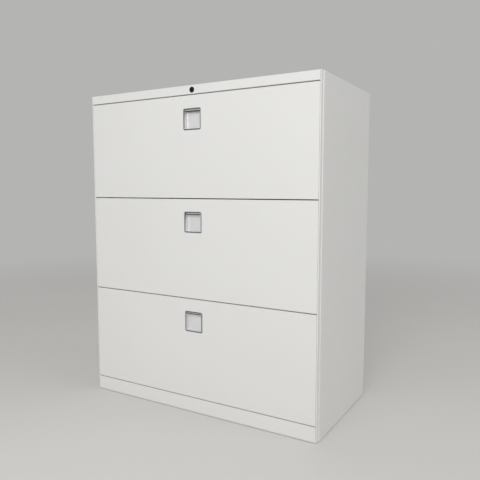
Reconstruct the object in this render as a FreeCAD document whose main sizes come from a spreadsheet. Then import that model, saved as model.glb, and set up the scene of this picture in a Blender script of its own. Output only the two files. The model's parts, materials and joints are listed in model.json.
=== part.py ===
import FreeCAD, Part
import math
import os
import re
import Sketcher

# Sizes in millimetres

SIZES = {
    # whole cabinet
    "width": 900,
    "depth": 450,
    "sheet": 1.0,
    "floor_gap": 1.5,
    # front layout, from the floor up
    "plinth_height": 52,
    "lowest_pitch": 344,
    "drawer_pitch": 337,
    "rail_height": 30,
    "drawer_gap": 3,
    # side panel edge that frames the fronts
    "edge_step": 3,
    "edge_depth": 15,
    "frame_setback": 20,
    "hem_width": 3.5,
    "flange_reach": 32,
    "flange_return": 15,
    "back_flange": 20,
    # small clearances
    "front_side_gap": 0.5,
    "trim_gap": 0.3,
    "slide_gap": 0.3,
    "shaft_gap": 0.05,
    "screw_gap": 0.05,
    "grip_gap": 1,
    # how far a cutting shape passes the face that it cuts
    "overrun": 1,
    # panels
    "panel_flange": 20,
    "front_thickness": 18,
    # uprights and base
    "upright_sheet": 1.2,
    "upright_width": 30,
    "upright_depth": 30,
    "upright_setback": 36,
    "upright_rear_gap": 14,
    "upright_headroom": 30,
    "slot_setback": 21,
    "slot_width": 4,
    "slot_height": 16,
    "slot_pitch": 85,
    "slot_rise": 60,
    "runner_width": 64,
    "runner_clearance": 2,
    "foot_radius": 14,
    "foot_thickness": 3,
    "foot_stem_radius": 4,
    "foot_stem_top": 55,
    "foot_inset": 18,
    # drawer tray
    "tray_side_gap": 13,
    "tray_lift": 14,
    "tray_height": 180,
    "tray_rear_gap": 30,
    "file_bar_height": 262,
    "file_bar_section": 12,
    "file_bar_thickness": 2,
    "file_bar_spacing": 330,
    "file_bar_front": 36,
    # telescopic slides
    "slide_height": 45,
    "slide_sheet": 1.2,
    "slide_rear_gap": 32,
    "slide_front": 38,
    "slide_lift": 40,
    "slide_lip": 1.4,
    # pull
    "pull_drop": 78.5,
    "bezel_width": 70,
    "bezel_height": 70,
    "bezel_rim": 4,
    "bezel_proud": 1.2,
    "cup_wall": 1.2,
    "cup_depth": 15.4,
    "cup_inset": 2,
    "ear_thickness": 2,
    "ear_width": 9,
    "ear_rise": 5,
    "ear_trim": 1,
    "grip_width": 58,
    "grip_thickness": 4,
    "grip_setback": 2.8,
    "grip_show": 6,
    "grip_hub_radius": 5,
    # latch
    "shaft_rise": 40,
    "shaft_setback": 11.5,
    "shaft_radius": 3,
    "hook_inset": 24,
    "hook_thickness": 2,
    "hook_arm": 6,
    "hook_reach": 16,
    "hook_nose_height": 8,
    "hook_nose_depth": 5,
    "hook_play": 1,
    "hook_drop": 12,
    "hook_side_play": 3,
    "bush_inset": 36,
    "bush_width": 6,
    "bush_radius": 5.4,
    # lock
    "barrel_radius": 8.5,
    "barrel_length": 25,
    "barrel_flange": 1.2,
    "barrel_flange_radius": 9.5,
    "plug_radius": 6,
    "plug_recess": 0.6,
    "plug_tail": 10,
    "nut_radius": 12.5,
    "nut_thickness": 3,
    "key_width": 1.6,
    "key_height": 7,
    "key_depth": 8,
    "cam_thickness": 2,
    "cam_radius": 10,
    "cam_width": 9,
    "crank_radius": 2.5,
    "crank_length": 6,
    "yoke_play": 0.5,
    "link_thickness": 1.5,
    "link_height": 15,
    "link_gap": 1.2,
    "link_drop": 1.2,
    "bar_thickness": 2,
    "bar_width": 12,
    "bar_inset": 16,
    "bar_foot": 70,
    "bar_head": 12,
    "bar_pin_radius": 2,
    "tab_height": 12,
    "tab_drop": 2,
    "tab_tip": 9,
    "tab_gap": 1,
    "catch_reach": 9,
    "catch_height": 8,
    "catch_depth": 4,
    "catch_lift": 126,
    # fasteners and buffers
    "buffer_radius": 5,
    "buffer_inset": 11,
    "buffer_rise": 50,
    "buffer_spread": 120,
    "screw_radius": 2,
    "screw_head_radius": 4,
    "screw_head": 1.2,
    "screw_length": 9,
    "screw_inset": 10,
    "screw_first": 60,
    "screw_pitch": 235,
    "screw_count": 5,
    "wall_hole_radius": 3.5,
    "wall_hole_spacing": 800,
    "wall_hole_drop": 11,
}

LEVELS = (1, 2, 3)
SIDES = {"left": -1, "right": 1}

doc = FreeCAD.newDocument("lateral_filing_cabinet")
sheet = doc.addObject("Spreadsheet::Sheet", "Sizes")
for row, (alias, value) in enumerate(SIZES.items(), start=1):
    sheet.set(f"A{row}", alias.replace("_", " "))
    sheet.set(f"B{row}", str(value))
    sheet.setAlias(f"B{row}", alias)
doc.recompute()

finished = {}


def link(text):
    """Point each size name in an expression at its cell."""
    def cell(word):
        return "Sizes." + word.group(0) if word.group(0) in SIZES else word.group(0)

    return re.sub(r"[a-z]\w*", cell, text)


def keep(item, node):
    """Name a finished sub-part, which is written to its own file."""
    item.Label = node
    finished[node] = item
    return item


def bind(item, **expressions):
    for prop, text in expressions.items():
        item.setExpression(prop, link(text))


def place(item, x, y, z):
    for axis, text in zip("xyz", (x, y, z)):
        item.setExpression(f"Placement.Base.{axis}", link(text))


# Solids between two planes in each direction

def box(name, x, y, z):
    """A box from the first to the second value in each direction."""
    item = doc.addObject("Part::Box", name)
    bind(item, Length=f"({x[1]}) - ({x[0]})")
    bind(item, Width=f"({y[1]}) - ({y[0]})")
    bind(item, Height=f"({z[1]}) - ({z[0]})")
    place(item, x[0], y[0], z[0])
    return item


def rod(name, radius, length, start, axis):
    """A round rod of a length, from a start point along an axis."""
    item = doc.addObject("Part::Cylinder", name)
    bind(item, Radius=radius, Height=length)
    aims = {"+X": FreeCAD.Vector(1, 0, 0), "+Y": FreeCAD.Vector(0, 1, 0), "+Z": FreeCAD.Vector(0, 0, 1)}
    item.Placement.Rotation = FreeCAD.Rotation(aims["+Z"], aims[axis])
    place(item, *start)
    return item


def fuse(name, *shapes):
    item = doc.addObject("Part::MultiFuse", name)
    item.Shapes = list(shapes)
    item.Refine = True
    return item


def cut(name, base, *tools):
    item = doc.addObject("Part::Cut", name)
    item.Base = base
    item.Tool = tools[0] if len(tools) == 1 else fuse(name + "_tools", *tools)
    item.Refine = True
    return item


def group(name, *shapes):
    """Separate solids that share a node."""
    item = doc.addObject("Part::Compound", name)
    item.Links = list(shapes)
    return item


def across(side, near, far):
    """The same span of x on the right, or mirrored on the left."""
    return (near, far) if side > 0 else (f"-({far})", f"-({near})")


# Bodies from a drawn outline

def sketch_on(body, role, name, offset="0"):
    plane = [item for item in body.Origin.OriginFeatures if item.Role == role][0]
    sketch = body.newObject("Sketcher::SketchObject", name)
    sketch.AttachmentSupport = [(plane, "")]
    sketch.MapMode = "FlatFace"
    sketch.setExpression("AttachmentOffset.Base.z", link(offset))
    return sketch


def pin_point(sketch, edge, point, x, y):
    """Tie a point of an edge to its distances from the sketch's origin."""
    for kind, text in (("DistanceX", x), ("DistanceY", y)):
        index = sketch.addConstraint(Sketcher.Constraint(kind, -1, 1, edge, point, 1.0))
        sketch.setExpression(f"Constraints[{index}]", link(text))


def draw_outline(sketch, points):
    """A closed outline of straight edges through the given corners."""
    count = len(points)
    first = sketch.GeometryCount
    spread = 100.0
    angles = [2 * math.pi * k / count for k in range(count)]
    ring = [FreeCAD.Vector(spread * math.cos(angle), spread * math.sin(angle), 0) for angle in angles]
    for k in range(count):
        sketch.addGeometry(Part.LineSegment(ring[k], ring[(k + 1) % count]))
    for k in range(count):
        sketch.addConstraint(Sketcher.Constraint("Coincident", first + k, 2, first + (k + 1) % count, 1))
    for k, (x, y) in enumerate(points):
        pin_point(sketch, first + k, 1, x, y)


def draw_circle(sketch, x, y, radius):
    edge = sketch.addGeometry(Part.Circle(FreeCAD.Vector(0, 0, 0), FreeCAD.Vector(0, 0, 1), 1.0))
    index = sketch.addConstraint(Sketcher.Constraint("Radius", edge, 1.0))
    sketch.setExpression(f"Constraints[{index}]", link(radius))
    pin_point(sketch, edge, 3, x, y)


def rectangle(x, y):
    return [(x[0], y[0]), (x[1], y[0]), (x[1], y[1]), (x[0], y[1])]


def pad(body, sketch, length, name):
    feature = body.newObject("PartDesign::Pad", name)
    feature.Profile = sketch
    bind(feature, Length=length)
    return feature


def pocket(body, sketch, length, name, backwards=False):
    """A cut as deep as a length, which must take something away."""
    doc.recompute()
    before = body.Shape.Volume
    feature = body.newObject("PartDesign::Pocket", name)
    feature.Profile = sketch
    feature.Reversed = backwards
    bind(feature, Length=length)
    doc.recompute()
    if not body.Shape.Volume < before - 0.01:
        raise ValueError(f"{name} cuts nothing")
    return feature


def profile_body(name, role, outline, start, length):
    """A body drawn on an origin plane, from a start offset, as thick as a length."""
    body = doc.addObject("PartDesign::Body", name)
    sketch = sketch_on(body, role, name + "_outline", start)
    draw_outline(sketch, outline)
    pad(body, sketch, length, name + "_pad")
    return body


# Places that several pieces share

def gap_line(level):
    """The middle of the gap above a drawer, counted from 1 at the top; level 4 is the top of the plinth."""
    if level == 4:
        return "plinth_height"
    return f"(plinth_height + lowest_pitch + {3 - level} * drawer_pitch)"


FRONT = "(-depth / 2)"
BACK = "(depth / 2)"
FRAME = f"({FRONT} + frame_setback)"
LIP = "(width / 2 - edge_step - hem_width)"
OPENING = "(width / 2 - flange_reach)"
SKIN = "(width / 2 - sheet)"
FRONT_REAR = f"({FRONT} + front_thickness)"
UPRIGHT_FACE = "(width / 2 - sheet - upright_width)"
TRAY_SIDE = f"({UPRIGHT_FACE} - tray_side_gap)"
DECK = "(plinth_height - drawer_gap / 2)"
RAIL_BOTTOM = f"({gap_line(1)} + drawer_gap / 2)"
HEIGHT = f"({gap_line(1)} + rail_height)"
LOCK_Z = f"({HEIGHT} - rail_height / 2)"
SHAFT_Y = f"({FRONT} + shaft_setback)"
UPRIGHT_FRONT = f"({FRONT} + upright_setback)"
UPRIGHT_REAR = f"({BACK} - upright_rear_gap - upright_depth)"
FOOT_X = "(width / 2 - foot_inset)"
FOOT_Y = {
    "front": f"({UPRIGHT_FRONT} + upright_depth / 2)",
    "rear": f"({UPRIGHT_REAR} + upright_depth / 2)",
}
HOOK_SPAN = (
    "width / 2 - hook_inset - hook_thickness - hook_side_play",
    "width / 2 - hook_inset + hook_side_play",
)

# Lock train, from the cam back to the bar
CAM_Y = f"({FRONT} + barrel_length + plug_tail)"
LINK_Y = f"({CAM_Y} + cam_thickness + link_gap)"
BAR_Y = f"({LINK_Y} + link_thickness + link_gap)"
BAR_X = (f"({SKIN} - bar_inset - bar_width)", f"({SKIN} - bar_inset)")
THROW = "(cam_radius * sqrt(0.5))"
TRAVEL = "(2 * cam_radius * sqrt(0.5))"
LINK_Z = (f"({LOCK_Z} - link_drop - link_height)", f"({LOCK_Z} - link_drop)")
PIN_X = f"(({BAR_X[0]} + {BAR_X[1]}) / 2)"
PIN_Z = f"({LINK_Z[0]} - link_drop)"


def drawer_top(level):
    return f"({gap_line(level)} - drawer_gap / 2)"


def drawer_bottom(level):
    return f"({gap_line(level + 1)} + drawer_gap / 2)"


def pull_z(level):
    return f"({gap_line(level)} - pull_drop)"


def shaft_z(level):
    return f"({pull_z(level)} + shaft_rise)"


def tray_bottom(level):
    return f"({drawer_bottom(level)} + tray_lift)"


def slide_z(level):
    return f"({tray_bottom(level)} + slide_lift)"


def catch_z(level):
    return f"({tray_bottom(level)} + catch_lift)"


def hook_rise(level):
    """The height of the slots that the latch hooks reach through."""
    return (f"{shaft_z(level)} - hook_drop", f"{shaft_z(level)} + hook_nose_height + hook_play")


def tab_z(level):
    return f"({catch_z(level)} - tab_drop - tab_height)"


def screw_z(index):
    return f"(screw_first + {index} * screw_pitch)"


# Carcass: side panels with a stepped front edge, a hem and folded flanges

def make_side_panel(word, side):
    def x(text):
        return text if side > 0 else f"-({text})"

    outline = [
        (x("width / 2"), BACK),
        (x("width / 2"), f"{FRONT} + edge_depth"),
        (x("width / 2 - edge_step"), f"{FRONT} + edge_depth"),
        (x("width / 2 - edge_step"), FRONT),
        (x(LIP), FRONT),
        (x(LIP), FRAME),
        (x(OPENING), FRAME),
        (x(OPENING), f"{FRAME} + flange_return"),
        (x(f"{OPENING} + sheet"), f"{FRAME} + flange_return"),
        (x(f"{OPENING} + sheet"), f"{FRAME} + sheet"),
        (x(SKIN), f"{FRAME} + sheet"),
        (x(SKIN), f"{BACK} - sheet"),
        (x("width / 2 - back_flange"), f"{BACK} - sheet"),
        (x("width / 2 - back_flange"), BACK),
    ]
    body = profile_body(f"{word}_side_panel", "XY_Plane", outline, "floor_gap", f"{HEIGHT} - floor_gap")

    # seat of the top panel, one sheet deep
    seat = sketch_on(body, "XY_Plane", f"{word}_top_seat", HEIGHT)
    draw_outline(seat, rectangle(across(side, OPENING, SKIN), (FRAME, f"{BACK} - sheet")))
    pocket(body, seat, "sheet", f"{word}_top_seat_cut")

    # slots behind which the latch hooks catch
    slots = sketch_on(body, "XZ_Plane", f"{word}_hook_slots", f"-({FRAME} - overrun)")
    for level in LEVELS:
        draw_outline(slots, rectangle(across(side, *HOOK_SPAN), hook_rise(level)))
    pocket(body, slots, "sheet + 2 * overrun", f"{word}_hook_slots_cut")

    # screw holes in the back flange
    holes = sketch_on(body, "XZ_Plane", f"{word}_screw_holes", f"-({BACK} - sheet - overrun)")
    for index in range(SIZES["screw_count"]):
        draw_circle(holes, x("width / 2 - screw_inset"), screw_z(index), "screw_radius + screw_gap")
    pocket(body, holes, "sheet + 2 * overrun", f"{word}_screw_holes_cut")
    return keep(body, f"{word}_side_panel")


def make_top_panel():
    reach = f"{BACK} - sheet"
    plate = box("top_plate", (f"-{SKIN}", SKIN), (FRAME, reach), (f"{HEIGHT} - sheet", HEIGHT))
    rise = (f"{HEIGHT} - panel_flange", f"{HEIGHT} - sheet")
    y = (f"{FRAME} + sheet + trim_gap", reach)
    sides = [box(f"top_flange_{word}", across(side, f"{SKIN} - sheet", SKIN), y, rise)
             for word, side in SIDES.items()]
    rear = box("top_flange_rear", (f"-{SKIN}", SKIN), (f"{reach} - sheet", reach), rise)
    shell = fuse("top_shell", plate, *sides, rear)
    hole_z = f"{HEIGHT} - wall_hole_drop"
    holes = [rod(f"wall_hole_{word}", "wall_hole_radius", "3 * sheet",
                 (f"{side} * wall_hole_spacing / 2", f"{reach} - 2 * sheet", hole_z), "+Y")
             for word, side in SIDES.items()]
    return keep(cut("top_panel_cut", shell, *holes), "top_panel")


def make_back_panel():
    rear = f"{BACK} - sheet"
    plate = box("back_plate", (f"-({SKIN} - trim_gap)", f"{SKIN} - trim_gap"), (f"{rear} - sheet", rear),
                ("floor_gap", f"{HEIGHT} - panel_flange"))
    holes = [rod(f"back_hole_{word}_{index}", "screw_radius + screw_gap", "3 * sheet",
                 (f"{side} * (width / 2 - screw_inset)", f"{rear} - 2 * sheet", screw_z(index)), "+Y")
             for word, side in SIDES.items() for index in range(SIZES["screw_count"])]
    return keep(cut("back_panel_cut", plate, *holes), "back_panel")


def make_bottom_panel():
    reach = f"({BACK} - 2 * sheet)"
    plate = box("bottom_plate", (f"-{OPENING}", OPENING), (FRAME, reach), (f"{DECK} - sheet", DECK))
    lip = box("bottom_lip", (f"-{OPENING}", OPENING), (f"{reach} - sheet", reach),
              (DECK, f"{DECK} + panel_flange"))
    return keep(fuse("bottom_panel_fuse", plate, lip), "bottom_panel")


def make_front_trim(name, low, high):
    """A folded front rail that fits between the hems of the side panels."""
    reach = f"({LIP} - trim_gap)"
    block = box(f"{name}_block", (f"-{reach}", reach), (FRONT, FRAME), (low, high))
    hollow = box(f"{name}_hollow", (f"-{reach} - sheet", f"{reach} + sheet"),
                 (f"{FRONT} + sheet", f"{FRAME} + sheet"), (f"{low} + sheet", f"{high} - sheet"))
    return cut(f"{name}_pan", block, hollow)


def make_plinth():
    return keep(make_front_trim("plinth", "floor_gap", DECK), "plinth_front")


def make_top_rail():
    pan = make_front_trim("rail", RAIL_BOTTOM, HEIGHT)
    hole = rod("rail_lock_hole", "barrel_radius + shaft_gap", "3 * sheet",
               ("0", f"{FRONT} - sheet", LOCK_Z), "+Y")
    return keep(cut("rail_cut", pan, hole), "top_rail")


def make_upright(word, side, place_word, front_y):
    """A slotted channel that is open towards the side panel."""
    def x(text):
        return text if side > 0 else f"-({text})"

    rear_y = f"({front_y} + upright_depth)"
    inner = f"{UPRIGHT_FACE} + upright_sheet"
    outline = [
        (x(SKIN), front_y),
        (x(UPRIGHT_FACE), front_y),
        (x(UPRIGHT_FACE), rear_y),
        (x(SKIN), rear_y),
        (x(SKIN), f"{rear_y} - upright_sheet"),
        (x(inner), f"{rear_y} - upright_sheet"),
        (x(inner), f"{front_y} + upright_sheet"),
        (x(SKIN), f"{front_y} + upright_sheet"),
    ]
    name = f"{place_word}_{word}_upright"
    top = f"{RAIL_BOTTOM} - upright_headroom"
    body = profile_body(name, "XY_Plane", outline, DECK, f"{top} - {DECK}")

    slots = sketch_on(body, "YZ_Plane", f"{name}_slots", x(f"{UPRIGHT_FACE} - overrun"))
    middle = f"{front_y} + slot_setback"
    first = f"{DECK} + slot_rise"
    draw_outline(slots, rectangle((f"{middle} - slot_width / 2", f"{middle} + slot_width / 2"),
                                  (first, f"{first} + slot_height")))
    hole = pocket(body, slots, "upright_sheet + 2 * overrun", f"{name}_slot", backwards=side > 0)
    pattern = body.newObject("PartDesign::LinearPattern", f"{name}_slot_row")
    pattern.Originals = [hole]
    pattern.Direction = (slots, ["V_Axis"])
    pattern.Mode = "Spacing"
    pattern.setExpression("Offset", link("slot_pitch"))
    pattern.setExpression("Occurrences", link(f"floor(({top} - {first} - slot_height) / slot_pitch) + 1"))
    body.Tip = pattern

    if place_word == "front" and side > 0:
        windows = sketch_on(body, "YZ_Plane", f"{name}_tab_windows", x(f"{UPRIGHT_FACE} - overrun"))
        span = (f"{BAR_Y} - tab_gap", f"{BAR_Y} + bar_thickness + tab_gap")
        for level in LEVELS:
            rise = (f"{tab_z(level)} - tab_gap", f"{tab_z(level)} + tab_height + {TRAVEL} + tab_gap")
            draw_outline(windows, rectangle(span, rise))
        pocket(body, windows, "upright_sheet + 2 * overrun", f"{name}_tab_window_cut", backwards=True)
    return keep(body, name)


def make_base_runner(word, side):
    """An inverted channel under the uprights that carries two levelling feet."""
    inner = "width / 2 - sheet - runner_width"
    y = (f"{FRAME} + sheet + flange_return + runner_clearance", f"{BACK} - 2 * sheet")
    low = "floor_gap + runner_clearance"
    high = f"{DECK} - sheet"
    block = box(f"{word}_runner_block", across(side, inner, SKIN), y, (low, high))
    hollow = box(f"{word}_runner_hollow", across(side, f"{inner} + upright_sheet", f"{SKIN} - upright_sheet"),
                 (f"{y[0]} - sheet", f"{y[1]} + sheet"), (f"{low} - sheet", f"{high} - upright_sheet"))
    packing = box(f"{word}_runner_packing", across(side, OPENING, SKIN), y, (high, DECK))
    holes = [rod(f"{word}_{spot}_foot_hole", "foot_stem_radius + screw_gap", "plinth_height",
                 (f"{side} * {FOOT_X}", foot_y, "floor_gap"), "+Z") for spot, foot_y in FOOT_Y.items()]
    channel = cut(f"{word}_runner_channel", block, hollow)
    shell = fuse(f"{word}_runner_shell", channel, packing)
    return keep(cut(f"{word}_runner_cut", shell, *holes), f"{word}_base_runner")


def make_levelling_foot(word, side, spot, foot_y):
    x = f"{side} * {FOOT_X}"
    disc = rod(f"{word}_{spot}_foot_disc", "foot_radius", "foot_thickness", (x, foot_y, "0"), "+Z")
    stem = rod(f"{word}_{spot}_foot_stem", "foot_stem_radius", "foot_stem_top - foot_thickness",
               (x, foot_y, "foot_thickness"), "+Z")
    return fuse(f"{word}_{spot}_foot_fuse", disc, stem)


def make_levelling_feet(spot, foot_y):
    feet = [make_levelling_foot(word, side, spot, foot_y) for word, side in SIDES.items()]
    return keep(group(f"{spot}_feet_group", *feet), f"{spot}_levelling_feet")


# Drawers: a double-skinned front, a tray on telescopic slides and two file bars

def pull_span(inset):
    return (f"-(bezel_width / 2 - {inset})", f"bezel_width / 2 - {inset}")


def pull_rise(level, inset):
    return (f"{pull_z(level)} - bezel_height / 2 + {inset}", f"{pull_z(level)} + bezel_height / 2 - {inset}")


def front_half_width():
    return f"({LIP} - front_side_gap)"


def make_drawer_front(level):
    name = f"drawer_{level}_front"
    half = front_half_width()
    low, high = drawer_bottom(level), drawer_top(level)
    outer = box(f"{name}_block", (f"-{half}", half), (FRONT, FRONT_REAR), (low, high))
    hollow = box(f"{name}_hollow", (f"-{half} + sheet", f"{half} - sheet"),
                 (f"{FRONT} + sheet", f"{FRONT_REAR} + sheet"), (f"{low} + sheet", f"{high} - sheet"))
    opening = box(f"{name}_opening", pull_span("cup_inset"), (f"{FRONT} - sheet", f"{FRONT} + 2 * sheet"),
                  pull_rise(level, "cup_inset"))
    return keep(cut(f"{name}_pan", outer, hollow, opening), name)


def make_drawer_liner(level):
    name = f"drawer_{level}_liner"
    half = f"({front_half_width()} - sheet)"
    plate = box(f"{name}_plate", (f"-{half}", half), (f"{FRONT_REAR} - sheet", FRONT_REAR),
                (f"{drawer_bottom(level)} + sheet", f"{drawer_top(level)} - sheet"))
    y = (f"{FRONT_REAR} - 2 * sheet", f"{FRONT_REAR} + sheet")
    slots = [box(f"{name}_slot_{word}", across(side, *HOOK_SPAN), y, hook_rise(level))
             for word, side in SIDES.items()]
    return keep(cut(f"{name}_cut", plate, *slots), name)


def make_tray(level):
    """A tray welded up from a floor, four walls and the catch that the lock bar blocks."""
    name = f"drawer_{level}_tray"
    front_y, rear_y = FRONT_REAR, f"({BACK} - tray_rear_gap)"
    inner_y = (f"{front_y} + sheet", f"{rear_y} - sheet")
    floor_z = tray_bottom(level)
    wall_z = (f"{floor_z} + sheet", f"{floor_z} + tray_height")
    full_x = (f"-{TRAY_SIDE}", TRAY_SIDE)
    panels = [
        box(f"{name}_floor", full_x, (front_y, rear_y), (floor_z, wall_z[0])),
        box(f"{name}_front_wall", full_x, (front_y, inner_y[0]), wall_z),
        box(f"{name}_rear_wall", full_x, (inner_y[1], rear_y), wall_z),
    ]
    for word, side in SIDES.items():
        wall_x = across(side, f"{TRAY_SIDE} - sheet", TRAY_SIDE)
        panels.append(box(f"{name}_{word}_wall", wall_x, inner_y, wall_z))
    catch_y = f"{BAR_Y} + bar_thickness + tab_gap"
    catch_x = (TRAY_SIDE, f"{TRAY_SIDE} + catch_reach")
    catch_rise = (catch_z(level), f"{catch_z(level)} + catch_height")
    panels.append(box(f"{name}_catch", catch_x, (catch_y, f"{catch_y} + catch_depth"), catch_rise))
    return keep(group(f"{name}_group", *panels), name)


def make_file_bar(level, word, y):
    """A bar that carries hanging files, with a leg down each side of the tray."""
    name = f"drawer_{level}_{word}_file_bar"
    inner = f"{TRAY_SIDE} - sheet"
    high = f"{tray_bottom(level)} + file_bar_height"
    span = (y, f"{y} + file_bar_thickness")
    bar = box(f"{name}_bar", (f"-{inner}", inner), span, (f"{high} - file_bar_section", high))
    legs = [box(f"{name}_leg_{side_word}", across(side, f"{inner} - file_bar_thickness", inner),
                (y, f"{y} + file_bar_section"), (f"{tray_bottom(level)} + tray_height / 2", high))
            for side_word, side in SIDES.items()]
    return fuse(f"{name}_fuse", bar, *legs)


def make_file_bars(level):
    front_y = f"({FRONT_REAR} + file_bar_front)"
    rear_y = f"({front_y} + file_bar_spacing)"
    bars = [make_file_bar(level, "front", front_y), make_file_bar(level, "rear", rear_y)]
    return keep(group(f"drawer_{level}_file_bars_group", *bars), f"drawer_{level}_file_bars")


def make_slide_member(level, stage, word, side, shift, y_end):
    """One rail of a telescopic slide, a channel nested in the one outside it."""
    name = f"drawer_{level}_{stage}_slide_{word}"
    step = "(slide_sheet + slide_gap)"
    half = f"(slide_height / 2 - {shift} * {step})"
    middle = f"({slide_z(level)} + slide_height / 2)"
    high, low = f"{middle} + {half}", f"{middle} - {half}"
    if stage == "inner":
        web = (TRAY_SIDE, f"{TRAY_SIDE} + slide_sheet")
        tip = (TRAY_SIDE, f"{UPRIGHT_FACE} - {shift} * {step}")
    else:
        web = (f"{UPRIGHT_FACE} - {shift} * {step} - slide_sheet", f"{UPRIGHT_FACE} - {shift} * {step}")
        tip = (f"{TRAY_SIDE} + slide_lip", web[1])
    y = (f"{FRONT} + slide_front", y_end)
    rail = box(f"{name}_web", across(side, *web), y, (low, high))
    upper = box(f"{name}_upper", across(side, *tip), y, (f"{high} - slide_sheet", high))
    lower = box(f"{name}_lower", across(side, *tip), y, (low, f"{low} + slide_sheet"))
    return fuse(f"{name}_rail", rail, upper, lower)


def make_slides(level):
    ends = {
        "outer": f"{BACK} - upright_rear_gap",
        "middle": f"{BACK} - slide_rear_gap",
        "inner": f"{BACK} - slide_rear_gap",
    }
    for shift, (stage, y_end) in enumerate(ends.items()):
        rails = [make_slide_member(level, stage, word, side, shift, y_end) for word, side in SIDES.items()]
        keep(group(f"drawer_{level}_{stage}_slides_group", *rails), f"drawer_{level}_{stage}_slides")


# Pull: a bezel and a shallow cup in the front, with a grip hanging from the latch shaft

def make_bezel(level):
    name = f"drawer_{level}_pull_bezel"
    y = (f"{FRONT} - bezel_proud", FRONT)
    ring = box(f"{name}_block", pull_span("0"), y, pull_rise(level, "0"))
    hole = box(f"{name}_hole", pull_span("bezel_rim"), (f"{y[0]} - overrun", f"{y[1]} + overrun"),
               pull_rise(level, "bezel_rim"))
    return keep(cut(f"{name}_cut", ring, hole), name)


def make_cup(level):
    name = f"drawer_{level}_pull_cup"
    fit = "(cup_inset + trim_gap)"
    wall = f"({fit} + cup_wall)"
    y = (FRONT, f"{FRONT} + cup_depth")
    low, high = pull_rise(level, fit)
    block = box(f"{name}_block", pull_span(fit), y, (low, high))
    hollow = box(f"{name}_hollow", pull_span(wall), (f"{y[0]} - overrun", f"{y[1]} - cup_wall"),
                 pull_rise(level, wall))
    notch = box(f"{name}_notch", ("-(grip_width / 2 + grip_gap)", "grip_width / 2 + grip_gap"),
                (f"{y[0]} - overrun", f"{FRONT} + grip_setback + grip_thickness + grip_gap"),
                (f"{high} - 2 * cup_wall", f"{high} + overrun"))
    ear_x = ("grip_width / 2 + trim_gap", "grip_width / 2 + trim_gap + ear_thickness")
    ear_y = (f"{SHAFT_Y} - ear_width / 2", f"{SHAFT_Y} + ear_width / 2 - ear_trim")
    ear_rise = (f"{high} - cup_wall", f"{shaft_z(level)} + ear_rise")
    ears = [box(f"{name}_ear_{word}", across(side, *ear_x), ear_y, ear_rise) for word, side in SIDES.items()]
    shell = fuse(f"{name}_shell", cut(f"{name}_hollowed", block, hollow, notch), *ears)
    bore = rod(f"{name}_bore", "shaft_radius + shaft_gap", "bezel_width",
               ("-bezel_width / 2", SHAFT_Y, shaft_z(level)), "+X")
    return keep(cut(f"{name}_cut", shell, bore), name)


def make_grip(level):
    """The finger grip, from the shaft down behind the bezel's upper edge."""
    name = f"drawer_{level}_pull_grip"
    front_y = f"({FRONT} + grip_setback)"
    rear_y = f"({front_y} + grip_thickness)"
    low = f"({pull_z(level)} + bezel_height / 2 - bezel_rim - grip_show)"
    shoulder = f"({shaft_z(level)} + grip_thickness / 2)"
    foot = f"({shaft_z(level)} - grip_thickness / 2)"
    outline = [
        (front_y, low),
        (rear_y, low),
        (rear_y, foot),
        (SHAFT_Y, foot),
        (SHAFT_Y, shoulder),
        (front_y, shoulder),
    ]
    body = profile_body(f"{name}_plate", "YZ_Plane", outline, "-grip_width / 2", "grip_width")
    hub = rod(f"{name}_hub", "grip_hub_radius", "grip_width",
              ("-grip_width / 2", SHAFT_Y, shaft_z(level)), "+X")
    bore = rod(f"{name}_bore", "shaft_radius", "grip_width + 2 * overrun",
               ("-(grip_width / 2 + overrun)", SHAFT_Y, shaft_z(level)), "+X")
    return keep(cut(f"{name}_cut", fuse(f"{name}_fuse", body, hub), bore), name)


def make_latch_shaft(level):
    """The long shaft with a hook at each end that catches behind the side panel's flange."""
    name = f"drawer_{level}_latch_shaft"
    z = shaft_z(level)
    reach = "(width / 2 - hook_inset)"
    shaft = rod(f"{name}_rod", "shaft_radius", f"2 * {reach}", (f"-{reach}", SHAFT_Y, z), "+X")
    tip = f"({SHAFT_Y} + hook_reach)"
    parts = [shaft]
    for word, side in SIDES.items():
        outline = [
            (f"{SHAFT_Y} - hook_arm / 2", f"{z} - hook_arm"),
            (tip, f"{z} - hook_arm"),
            (tip, f"{z} + hook_nose_height"),
            (f"{tip} - hook_nose_depth", f"{z} + hook_nose_height"),
            (f"{tip} - hook_nose_depth", f"{z} + hook_arm / 2"),
            (f"{SHAFT_Y} - hook_arm / 2", f"{z} + hook_arm / 2"),
        ]
        near = across(side, f"{reach} - hook_thickness", reach)[0]
        parts.append(profile_body(f"{name}_hook_{word}", "YZ_Plane", outline, near, "hook_thickness"))
    return keep(fuse(f"{name}_fuse", *parts), name)


def make_bushes(level):
    """Two bushes on the liner that carry the ends of the latch shaft."""
    name = f"drawer_{level}_shaft_bushes"
    bushes = []
    for word, side in SIDES.items():
        x = across(side, "width / 2 - bush_inset - bush_width", "width / 2 - bush_inset")
        block = box(f"{name}_block_{word}", x, (f"{SHAFT_Y} - bush_radius", f"{FRONT_REAR} - sheet"),
                    (f"{shaft_z(level)} - bush_radius", f"{shaft_z(level)} + bush_radius"))
        bore = rod(f"{name}_bore_{word}", "shaft_radius + shaft_gap", "bush_width + 2 * overrun",
                   (f"{x[0]} - overrun", SHAFT_Y, shaft_z(level)), "+X")
        bushes.append(cut(f"{name}_bush_{word}", block, bore))
    return keep(group(f"{name}_group", *bushes), name)


# Lock: a barrel in the top rail, a cam, a link along the rail and a bar down the right side

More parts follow.
